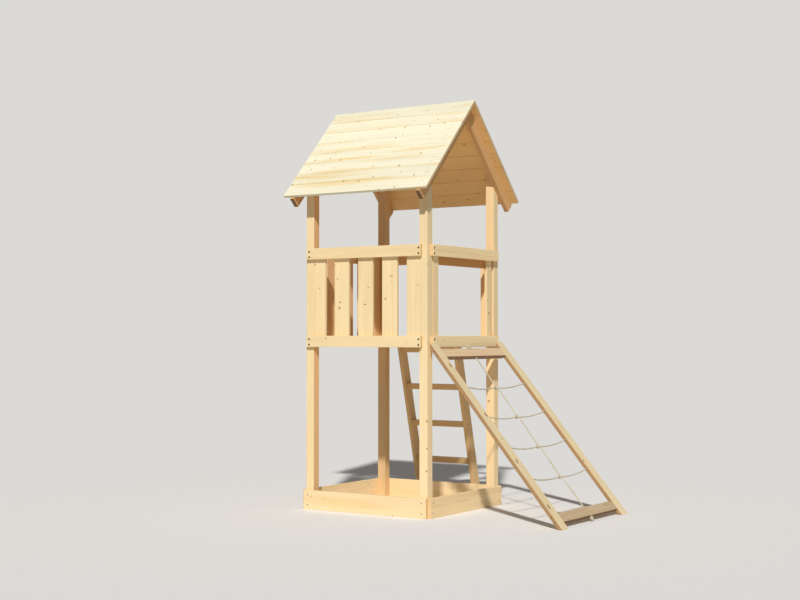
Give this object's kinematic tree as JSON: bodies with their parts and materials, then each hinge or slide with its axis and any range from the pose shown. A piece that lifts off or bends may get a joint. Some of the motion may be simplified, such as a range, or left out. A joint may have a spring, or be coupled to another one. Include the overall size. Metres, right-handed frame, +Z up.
{
  "type": "play tower",
  "caption": "Wooden garden play tower: four posts, raised deck with slatted railings, gabled board roof, sandbox frame, rope-net ramp and leaning ladder.",
  "frame": {"origin": "middle of the base of the whole tower's bounding box, on the ground", "axes": "+Z up, +X along the front towards the ramp, +Y towards the ladder at the back"},
  "size_m": [2.2294, 1.611, 3.032],
  "materials": {
    "spruce_board": "planed, untreated",
    "spruce_batten": "planed, untreated",
    "roof_board": "planed, untreated",
    "rope": "twisted fibre"
  },
  "bodies": {
    "root": {"deck_bearer_left": "spruce_board", "deck_bearer_right": "spruce_board", "deck_board_1": "spruce_board", "deck_board_2": "spruce_board", "deck_board_3": "spruce_board", "deck_board_4": "spruce_board", "deck_board_5": "spruce_board", "deck_board_6": "spruce_board", "deck_board_7": "spruce_board", "deck_board_8": "spruce_board", "header_rail_right": "spruce_board", "ladder_rail_left": "spruce_batten", "ladder_rail_right": "spruce_batten", "ladder_rung_1": "spruce_batten", "ladder_rung_2": "spruce_batten", "ladder_rung_3": "spruce_batten", "ladder_rung_4": "spruce_batten", "lower_rail_front": "spruce_board", "lower_rail_left": "spruce_board", "lower_rail_rear": "spruce_board", "lower_rail_right": "spruce_board", "post_front_left": "spruce_board", "post_front_right": "spruce_board", "post_rear_left": "spruce_board", "post_rear_right": "spruce_board", "rafter_front_left": "spruce_batten", "rafter_front_right": "spruce_batten", "rafter_rear_left": "spruce_batten", "rafter_rear_right": "spruce_batten", "ramp_beam_front": "spruce_batten", "ramp_beam_rear": "spruce_batten", "ramp_plank_bottom": "spruce_batten", "ramp_plank_top": "spruce_batten", "roof_panel_front": "roof_board", "roof_panel_rear": "roof_board", "rope_net": "rope", "sandbox_board_front": "spruce_board", "sandbox_board_left": "spruce_board", "sandbox_board_rear": "spruce_board", "sandbox_board_right": "spruce_board", "slat_front_1": "spruce_board", "slat_front_2": "spruce_board", "slat_front_3": "spruce_board", "slat_front_4": "spruce_board", "slat_front_5": "spruce_board", "slat_left_1": "spruce_board", "slat_left_2": "spruce_board", "slat_left_3": "spruce_board", "slat_left_4": "spruce_board", "slat_left_5": "spruce_board", "slat_rear_left": "spruce_board", "slat_rear_right": "spruce_board", "slat_right_front": "spruce_board", "slat_right_rear": "spruce_board", "upper_rail_front": "spruce_board", "upper_rail_left": "spruce_board", "upper_rail_rear": "spruce_board", "upper_rail_right": "spruce_board"}
  },
  "joints": []
}
